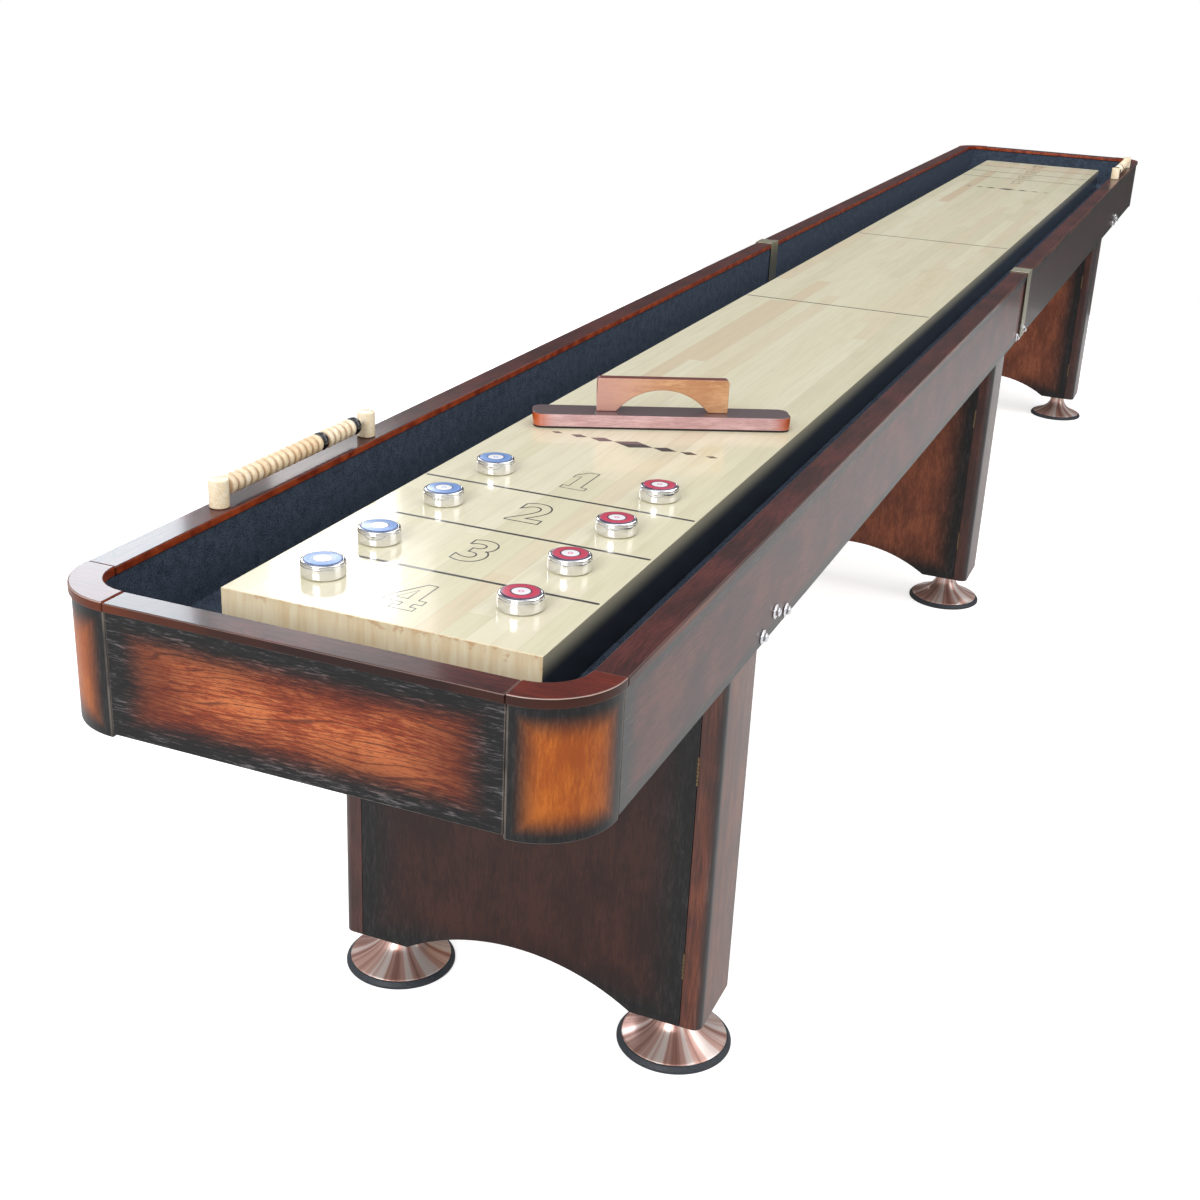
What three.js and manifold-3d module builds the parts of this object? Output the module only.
// A sixteen-foot table shuffleboard on three boxed pedestals, with its pucks, its
// bead scorers and its board sweep.
// Millimetres. +Z is up and the origin is on the floor under the table's middle.
// +Y runs along the table, so the near end is at -Y, and +X is the right-hand rail.
import * as THREE from 'three';
import { mergeVertices } from 'three/addons/utils/BufferGeometryUtils.js';
import Module from 'manifold-3d';

const wasm = await Module();
wasm.setup();

// ---- Driving dimensions ----------------------------------------------------
const TABLE_LENGTH = 4880;
const TABLE_WIDTH = 616;
const RAIL_TOP = 784;
const APRON_BOTTOM = 637;
const GAP = 0.3; // clearance left between pieces that touch

const CAP_WIDTH = 36;
const CAP_THICKNESS = 10;
const CAP_OVERHANG = 3;
const CORNER_CAP_RISE = 0.8;
const CORNER_BLOCK_DROP = 4;
const CORNER_RADIUS = 84; // outer radius of the corner caps
const CORNER_LEG = 2; // straight stretch at each end of a corner
const APRON_THICKNESS = 28;

const FLOOR_BOTTOM = 676;
const FLOOR_THICKNESS = 13;

const PLAYFIELD_LENGTH = 4572;
const PLAYFIELD_WIDTH = 381;
const PLAYFIELD_TOP = 753;

const SADDLE_WIDTH = 50;
const SADDLE_THICKNESS = 1.5;
const SADDLE_INNER_DROP = 84;
const SADDLE_OUTER_DROP = 143;

const PEDESTAL_PITCH = 1850;
const PEDESTAL_WIDTH = 544;
const PEDESTAL_DEPTH = 128;
const PEDESTAL_BOTTOM = 71;
const SIDE_BOARD_THICKNESS = 29;
const SIDE_BOARD_ROUND = 13;
const PANEL_THICKNESS = 20;
const ARCH_HALF_WIDTH = 171;
const ARCH_RISE = 50;
const FOOT_BLOCK_WIDTH = 55;
const FOOT_BLOCK_HEIGHT = 45;

const FOOT_SPACING = 432; // between the two feet of a pedestal
const FOOT_RADIUS = 80;
const FOOT_NECK_RADIUS = 21;
const STUD_RADIUS = 8;
const STUD_LENGTH = 34;
const STUD_CLEARANCE = 0.5;

const SCORER_Y = 1976; // middle of each scorer along the table
const SCORER_SPAN = 334; // between a scorer's post centres
const POST_RADIUS = 12;
const POST_HEIGHT = 34;
const ROD_HEIGHT = 22;
const ROD_RADIUS = 3;
const ROD_BORE_RADIUS = 3.5;
const BEAD_COUNT = 22;
const BEAD_RADIUS = 12;
const BEAD_LENGTH = 13.4;
const BEAD_BORE_RADIUS = 3.5;

const PUCK_RADIUS = 25.4;
const PUCK_HEIGHT = 19;
const PUCK_LANE_X = { red: 117, blue: -115 };
// Distance of each puck's centre from the playfield's near end.
const PUCK_PLACES = { red: [103, 233, 372, 517], blue: [85, 208, 368, 515] };

const SWEEP_PLACE = { y: -1452, turn: THREE.MathUtils.degToRad(27.2) };
const SWEEP_LENGTH = 380;
const SWEEP_WIDTH = 52;
const SWEEP_HEIGHT = 21;
const SWEEP_END_ROUND = 15;
const HANDLE_LENGTH = 194;
const HANDLE_HEIGHT = 50;
const HANDLE_THICKNESS = 16;
const HANDLE_OFFSET = 3;
const HANDLE_ROUND = 5;
const HANDLE_ARCH_HALF_WIDTH = 68;
const HANDLE_ARCH_RISE = 33;

// ---- Dimensions that follow from them --------------------------------------
const halfLength = TABLE_LENGTH / 2;
const halfWidth = TABLE_WIDTH / 2;
const capInnerX = halfWidth - CAP_WIDTH;
const apronOuterX = halfWidth - CAP_OVERHANG;
const apronInnerX = apronOuterX - APRON_THICKNESS;
const apronTop = RAIL_TOP - CAP_THICKNESS - GAP;
const apronHeight = apronTop - APRON_BOTTOM;
const cornerX = halfWidth - CORNER_RADIUS; // centre of the corner arcs
const cornerY = halfLength - CORNER_RADIUS;
const sideEndY = cornerY - CORNER_LEG; // where the side pieces meet a corner
const endEndX = cornerX - CORNER_LEG; // where the end pieces meet a corner
const floorTop = FLOOR_BOTTOM + FLOOR_THICKNESS;
const sideBoardInnerX = PEDESTAL_WIDTH / 2 - SIDE_BOARD_THICKNESS;
const postX = halfWidth - CAP_WIDTH / 2;

// ---- Materials --------------------------------------------------------------
const finish = (color, roughness, metalness = 0) => () =>
  new THREE.MeshStandardMaterial({ color, roughness, metalness });
const mahogany = finish(0x5a2218, 0.3);
const cherry = finish(0x7a3318, 0.35);
const darkWalnut = finish(0x3a1d15, 0.4);
const plywood = finish(0xb08a5c, 0.7);
const maple = finish(0xe3d2a0, 0.15);
const paleMaple = finish(0xe8cfa0, 0.45);
const copper = finish(0xb87a68, 0.3, 1);
const nickel = finish(0xb5b2a6, 0.35, 1);
const steel = finish(0xc8c8cc, 0.2, 1);
const puckColours = { red: finish(0x8e2028, 0.3, 0.5), blue: finish(0x3b4f9c, 0.3, 0.5) };

// ---- Geometry helpers -------------------------------------------------------
const table = new THREE.Group();

function addMesh(name, geometry, material, parent = table) {
  const mesh = new THREE.Mesh(geometry, material());
  mesh.name = name;
  parent.add(mesh);
  return mesh;
}

// A box given by its lowest and highest corners.
function block(low, high) {
  const size = high.map((value, i) => value - low[i]);
  const middle = high.map((value, i) => (value + low[i]) / 2);
  return new THREE.BoxGeometry(...size).translate(...middle);
}

// A plan outline raised between two heights.
function raise(outline, bottom, top, curveSegments = 8) {
  const options = { depth: top - bottom, bevelEnabled: false, curveSegments };
  return new THREE.ExtrudeGeometry(outline, options).translate(0, 0, bottom);
}

// An outline drawn in X and Z, given thickness along Y.
function stand(outline, front, back, curveSegments = 8) {
  const options = { depth: back - front, bevelEnabled: false, curveSegments };
  return new THREE.ExtrudeGeometry(outline, options).rotateX(Math.PI / 2).translate(0, back, 0);
}

// A turned piece whose axis is vertical. Each profile point is [radius, height].
function turnUpright(profile, segments) {
  const points = profile.map(([radius, height]) => new THREE.Vector2(radius, height));
  return new THREE.LatheGeometry(points, segments).rotateX(Math.PI / 2);
}

// The radius of the arc that spans twice halfSpan and rises by rise.
function arcRadius(halfSpan, rise) {
  return (halfSpan ** 2 + rise ** 2) / (2 * rise);
}

// Draws the arch from its left foot over to its right foot, both at height base.
function archOver(outline, halfSpan, rise, base) {
  const radius = arcRadius(halfSpan, rise);
  const centre = base + rise - radius;
  const angle = Math.asin(halfSpan / radius);
  outline.lineTo(-halfSpan, base);
  outline.absarc(0, centre, radius, Math.PI / 2 + angle, Math.PI / 2 - angle, true);
}

function toSolid(geometry) {
  const bare = geometry.clone();
  bare.deleteAttribute('normal');
  bare.deleteAttribute('uv');
  const merged = mergeVertices(bare, 1e-3);
  const mesh = new wasm.Mesh({
    numProp: 3,
    vertProperties: new Float32Array(merged.attributes.position.array),
    triVerts: new Uint32Array(merged.index.array),
  });
  return new wasm.Manifold(mesh);
}

function toGeometry(solid) {
  const { vertProperties, triVerts } = solid.getMesh();
  const geometry = new THREE.BufferGeometry();
  geometry.setAttribute('position', new THREE.BufferAttribute(vertProperties, 3));
  geometry.setIndex(new THREE.BufferAttribute(triVerts, 1));
  geometry.computeVertexNormals();
  return geometry;
}

const ends = [
  { end: 'near', sign: -1 },
  { end: 'far', sign: 1 },
];
const sides = [
  { side: 'left', sign: -1 },
  { side: 'right', sign: 1 },
];

// ---- Cabinet ------------------------------------------------------------------

// Plan of a quarter-round corner about the arc centre, facing +X and +Y.
function cornerPlan(outerRadius, innerRadius) {
  const leg = -CORNER_LEG + GAP / 2;
  const plan = new THREE.Shape();
  plan.moveTo(leg, innerRadius);
  plan.lineTo(0, innerRadius);
  plan.absarc(0, 0, innerRadius, Math.PI / 2, 0, true);
  plan.lineTo(innerRadius, leg);
  plan.lineTo(outerRadius, leg);
  plan.lineTo(outerRadius, 0);
  plan.absarc(0, 0, outerRadius, 0, Math.PI / 2, false);
  plan.lineTo(leg, outerRadius);
  return plan;
}

// Plan of a cradle floor half, rounded inside the corner blocks at its +Y end.
function floorPlan() {
  const x = apronInnerX - GAP;
  const radius = x - cornerX;
  const plan = new THREE.Shape();
  plan.moveTo(-x, GAP / 2);
  plan.lineTo(x, GAP / 2);
  plan.lineTo(x, cornerY);
  plan.absarc(cornerX, cornerY, radius, 0, Math.PI / 2, false);
  plan.absarc(-cornerX, cornerY, radius, Math.PI / 2, Math.PI, false);
  return plan;
}

function sideBox(sign, innerX, outerX, endSign, bottom, top) {
  const xs = [sign * innerX, sign * outerX].sort((a, b) => a - b);
  const ys = [(endSign * GAP) / 2, endSign * (sideEndY - GAP / 2)].sort((a, b) => a - b);
  return block([xs[0], ys[0], bottom], [xs[1], ys[1], top]);
}

function endBox(sign, innerY, outerY, bottom, top) {
  const ys = [sign * innerY, sign * outerY].sort((a, b) => a - b);
  const x = endEndX - GAP / 2;
  return block([-x, ys[0], bottom], [x, ys[1], top]);
}

function addCabinet() {
  const apronOuterY = halfLength - CAP_OVERHANG;
  for (const { end, sign } of ends) {
    const apron = endBox(sign, apronOuterY - APRON_THICKNESS, apronOuterY, APRON_BOTTOM, apronTop);
    const cap = endBox(sign, halfLength - CAP_WIDTH, halfLength, RAIL_TOP - CAP_THICKNESS, RAIL_TOP);
    addMesh(`end_apron_${end}`, apron, cherry);
    addMesh(`end_cap_${end}`, cap, mahogany);
    const floor = addMesh(`cradle_floor_${end}`, raise(floorPlan(), FLOOR_BOTTOM + GAP, floorTop), plywood);
    floor.rotation.z = sign > 0 ? 0 : Math.PI;
    for (const { side, sign: sideSign } of sides) {
      addSide(`${side}_${end}`, sideSign, sign);
      addCorner(`${end}_${side}`, sideSign, sign);
    }
  }
}

function addSide(label, sideSign, endSign) {
  const apron = sideBox(sideSign, apronInnerX, apronOuterX, endSign, APRON_BOTTOM, apronTop);
  const cap = sideBox(sideSign, capInnerX, halfWidth, endSign, RAIL_TOP - CAP_THICKNESS, RAIL_TOP);
  addMesh(`side_apron_${label}`, apron, cherry);
  addMesh(`side_cap_${label}`, cap, mahogany);
}

function addCorner(label, sideSign, endSign) {
  const corner = new THREE.Group();
  corner.position.set(sideSign * cornerX, endSign * cornerY, 0);
  corner.rotation.z = Math.atan2(endSign, sideSign) - Math.PI / 4;
  const outerRadius = CORNER_RADIUS - CAP_OVERHANG;
  const blockPlan = cornerPlan(outerRadius, outerRadius - APRON_THICKNESS);
  const capPlan = cornerPlan(CORNER_RADIUS, CORNER_RADIUS - CAP_WIDTH);
  const capBottom = RAIL_TOP - CAP_THICKNESS;
  addMesh(`corner_block_${label}`, raise(blockPlan, APRON_BOTTOM - CORNER_BLOCK_DROP, apronTop, 10), cherry, corner);
  addMesh(`corner_cap_${label}`, raise(capPlan, capBottom, RAIL_TOP + CORNER_CAP_RISE, 10), mahogany, corner);
  table.add(corner);
}

// Metal straps bent over the rails where the two halves of the cabinet meet.
function addSaddles() {
  const inner = -CAP_WIDTH / 2 - GAP;
  const outer = CAP_WIDTH / 2 + GAP;
  const top = RAIL_TOP + GAP;
  const strap = new THREE.Shape();
  strap.moveTo(outer, top - SADDLE_OUTER_DROP);
  strap.lineTo(outer + SADDLE_THICKNESS, top - SADDLE_OUTER_DROP);
  strap.lineTo(outer + SADDLE_THICKNESS, top + SADDLE_THICKNESS);
  strap.lineTo(inner - SADDLE_THICKNESS, top + SADDLE_THICKNESS);
  strap.lineTo(inner - SADDLE_THICKNESS, top - SADDLE_INNER_DROP);
  strap.lineTo(inner, top - SADDLE_INNER_DROP);
  strap.lineTo(inner, top);
  strap.lineTo(outer, top);
  for (const { side, sign } of sides) {
    const saddle = addMesh(`joint_saddle_${side}`, stand(strap, -SADDLE_WIDTH / 2, SADDLE_WIDTH / 2), nickel);
    saddle.position.x = sign * (halfWidth - CAP_WIDTH / 2);
    saddle.rotation.z = sign > 0 ? 0 : Math.PI;
  }
}

function addPlayfield() {
  const x = PLAYFIELD_WIDTH / 2;
  const y = PLAYFIELD_LENGTH / 2;
  addMesh('playfield', block([-x, -y, floorTop + GAP], [x, y, PLAYFIELD_TOP]), maple);
}

// ---- Pedestals ----------------------------------------------------------------

function archPanel(front) {
  const x = sideBoardInnerX - GAP;
  const outline = new THREE.Shape();
  outline.moveTo(-x, PEDESTAL_BOTTOM);
  archOver(outline, ARCH_HALF_WIDTH, ARCH_RISE, PEDESTAL_BOTTOM);
  outline.lineTo(x, PEDESTAL_BOTTOM);
  outline.lineTo(x, FLOOR_BOTTOM);
  outline.lineTo(-x, FLOOR_BOTTOM);
  return stand(outline, front, front + PANEL_THICKNESS, 18);
}

// The right-hand side board, with the glued block that takes a leveler's stud.
function sideBoard() {
  const outer = PEDESTAL_WIDTH / 2;
  const depth = PEDESTAL_DEPTH / 2;
  const round = SIDE_BOARD_ROUND;
  const plan = new THREE.Shape();
  plan.moveTo(sideBoardInnerX, -depth);
  plan.lineTo(outer - round, -depth);
  plan.absarc(outer - round, -depth + round, round, -Math.PI / 2, 0, false);
  plan.absarc(outer - round, depth - round, round, 0, Math.PI / 2, false);
  plan.lineTo(sideBoardInnerX, depth);
  const board = toSolid(raise(plan, PEDESTAL_BOTTOM, FLOOR_BOTTOM, 4));
  const blockY = depth - PANEL_THICKNESS - GAP;
  const blockTop = PEDESTAL_BOTTOM + FOOT_BLOCK_HEIGHT;
  const blockLow = [sideBoardInnerX - FOOT_BLOCK_WIDTH, -blockY, PEDESTAL_BOTTOM];
  const footBlock = toSolid(block(blockLow, [sideBoardInnerX + 1, blockY, blockTop]));
  const bore = new THREE.CylinderGeometry(
    STUD_RADIUS + STUD_CLEARANCE, STUD_RADIUS + STUD_CLEARANCE, 3 * FOOT_BLOCK_HEIGHT, 16);
  bore.rotateX(Math.PI / 2).translate(FOOT_SPACING / 2, 0, PEDESTAL_BOTTOM);
  return toGeometry(board.add(footBlock).subtract(toSolid(bore)));
}

// A leveling foot: a flared cone on a rubber ring, with its threaded stud.
function levelingFoot() {
  const top = PEDESTAL_BOTTOM - GAP;
  const profile = [
    [0, 0],
    [FOOT_RADIUS, 0],
    [FOOT_RADIUS, 4],
    [FOOT_RADIUS - 6, 10],
    [FOOT_RADIUS - 25, 18],
    [FOOT_RADIUS - 42, 27],
    [FOOT_NECK_RADIUS + 5, 39],
    [FOOT_NECK_RADIUS, 52],
    [FOOT_NECK_RADIUS, top],
    [STUD_RADIUS, top],
    [STUD_RADIUS, top + STUD_LENGTH],
    [0, top + STUD_LENGTH],
  ];
  return turnUpright(profile, 24);
}

function addPedestals() {
  const stations = [
    { name: 'near', y: -PEDESTAL_PITCH },
    { name: 'middle', y: 0 },
    { name: 'far', y: PEDESTAL_PITCH },
  ];
  for (const { name, y } of stations) {
    const pedestal = new THREE.Group();
    pedestal.position.y = y;
    table.add(pedestal);
    const front = -PEDESTAL_DEPTH / 2;
    addMesh(`pedestal_${name}_front_panel`, archPanel(front), darkWalnut, pedestal);
    addMesh(`pedestal_${name}_back_panel`, archPanel(-front - PANEL_THICKNESS), darkWalnut, pedestal);
    for (const { side, sign } of sides) {
      const board = addMesh(`pedestal_${name}_${side}_board`, sideBoard(), cherry, pedestal);
      board.rotation.z = sign > 0 ? 0 : Math.PI;
      const foot = addMesh(`leveler_${name}_${side}`, levelingFoot(), copper, pedestal);
      foot.position.x = (sign * FOOT_SPACING) / 2;
    }
  }
}

// ---- Bead scorers ---------------------------------------------------------------

// A post with a blind hole for the rod, which enters from the +Y side.
function scorerPost() {
  const profile = [
    [0, GAP],
    [POST_RADIUS, GAP],
    [POST_RADIUS, POST_HEIGHT - 2.5],
    [POST_RADIUS - 0.8, POST_HEIGHT - 0.8],
    [POST_RADIUS - 2.5, POST_HEIGHT],
    [0, POST_HEIGHT],
  ];
  const depth = 3 * POST_RADIUS;
  const bore = new THREE.CylinderGeometry(ROD_BORE_RADIUS, ROD_BORE_RADIUS, depth, 12);
  bore.translate(0, depth / 2 - ROD_RADIUS - GAP, ROD_HEIGHT);
  return toGeometry(toSolid(turnUpright(profile, 24)).subtract(toSolid(bore)));
}

// All the beads of one rod as one stack, bored for the rod, with a groove at each joint.
function beadStack() {
  const groove = 2.2;
  const lip = 2;
  const points = [new THREE.Vector2(BEAD_BORE_RADIUS, 0)];
  for (let bead = 0; bead < BEAD_COUNT; bead += 1) {
    const start = bead * BEAD_LENGTH;
    points.push(new THREE.Vector2(BEAD_RADIUS - groove, start));
    points.push(new THREE.Vector2(BEAD_RADIUS, start + lip));
    points.push(new THREE.Vector2(BEAD_RADIUS, start + BEAD_LENGTH - lip));
  }
  const length = BEAD_COUNT * BEAD_LENGTH;
  points.push(new THREE.Vector2(BEAD_RADIUS - groove, length));
  points.push(new THREE.Vector2(BEAD_BORE_RADIUS, length));
  points.push(points[0].clone());
  return new THREE.LatheGeometry(points, 12);
}

function addScorers() {
  for (const { end, sign } of ends) {
    const scorer = new THREE.Group();
    scorer.position.set(sign * postX, sign * SCORER_Y, RAIL_TOP);
    scorer.rotation.z = sign > 0 ? Math.PI : 0;
    table.add(scorer);
    const outerPost = addMesh(`scorer_${end}_outer_post`, scorerPost(), paleMaple, scorer);
    outerPost.position.y = -SCORER_SPAN / 2;
    const innerPost = addMesh(`scorer_${end}_inner_post`, scorerPost(), paleMaple, scorer);
    innerPost.position.y = SCORER_SPAN / 2;
    innerPost.rotation.z = Math.PI;
    const rod = new THREE.CylinderGeometry(ROD_RADIUS, ROD_RADIUS, SCORER_SPAN, 12);
    addMesh(`scorer_${end}_rod`, rod, steel, scorer).position.z = ROD_HEIGHT;
    const beads = addMesh(`scorer_${end}_beads`, beadStack(), paleMaple, scorer);
    beads.position.set(0, -SCORER_SPAN / 2 + POST_RADIUS + GAP, ROD_HEIGHT);
  }
}

// ---- Playing pieces ---------------------------------------------------------------

function puckShape() {
  const profile = [
    [0, 0],
    [PUCK_RADIUS - 2.4, 0],
    [PUCK_RADIUS, 2.5],
    [PUCK_RADIUS, 13],
    [PUCK_RADIUS - 1.4, 16],
    [PUCK_RADIUS - 3.6, 17.6],
    [PUCK_RADIUS - 5, PUCK_HEIGHT],
    [0, PUCK_HEIGHT],
  ];
  return turnUpright(profile, 24);
}

function addPucks() {
  for (const colour of ['red', 'blue']) {
    PUCK_PLACES[colour].forEach((place, index) => {
      const puck = addMesh(`puck_${colour}_${index + 1}`, puckShape(), puckColours[colour]);
      const y = place - PLAYFIELD_LENGTH / 2;
      puck.position.set(PUCK_LANE_X[colour], y, PLAYFIELD_TOP + GAP);
    });
  }
}

// The board sweep: a long felt-bottomed base with an arched handle standing on it.
function sweepShape() {
  const x = SWEEP_LENGTH / 2 - SWEEP_END_ROUND;
  const y = SWEEP_WIDTH / 2 - SWEEP_END_ROUND;
  const plan = new THREE.Shape();
  plan.absarc(x, -y, SWEEP_END_ROUND, -Math.PI / 2, 0, false);
  plan.absarc(x, y, SWEEP_END_ROUND, 0, Math.PI / 2, false);
  plan.absarc(-x, y, SWEEP_END_ROUND, Math.PI / 2, Math.PI, false);
  plan.absarc(-x, -y, SWEEP_END_ROUND, Math.PI, Math.PI * 1.5, false);
  const base = toSolid(raise(plan, 0, SWEEP_HEIGHT, 5));

  const handleX = HANDLE_LENGTH / 2;
  const top = SWEEP_HEIGHT + HANDLE_HEIGHT;
  const foot = SWEEP_HEIGHT - 1;
  const outline = new THREE.Shape();
  outline.moveTo(-handleX, foot);
  outline.lineTo(-HANDLE_ARCH_HALF_WIDTH, foot);
  archOver(outline, HANDLE_ARCH_HALF_WIDTH, HANDLE_ARCH_RISE, SWEEP_HEIGHT);
  outline.lineTo(HANDLE_ARCH_HALF_WIDTH, foot);
  outline.lineTo(handleX, foot);
  outline.absarc(handleX - HANDLE_ROUND, top - HANDLE_ROUND, HANDLE_ROUND, 0, Math.PI / 2, false);
  outline.absarc(HANDLE_ROUND - handleX, top - HANDLE_ROUND, HANDLE_ROUND, Math.PI / 2, Math.PI, false);
  const front = HANDLE_OFFSET - HANDLE_THICKNESS / 2;
  const handle = toSolid(stand(outline, front, front + HANDLE_THICKNESS, 12));
  return toGeometry(base.add(handle));
}

function addSweep() {
  const sweep = addMesh('board_sweep', sweepShape(), mahogany);
  sweep.position.set(0, SWEEP_PLACE.y, PLAYFIELD_TOP + GAP);
  sweep.rotation.z = SWEEP_PLACE.turn;
}

addCabinet();
addSaddles();
addPlayfield();
addPedestals();
addScorers();
addPucks();
addSweep();

export default table;
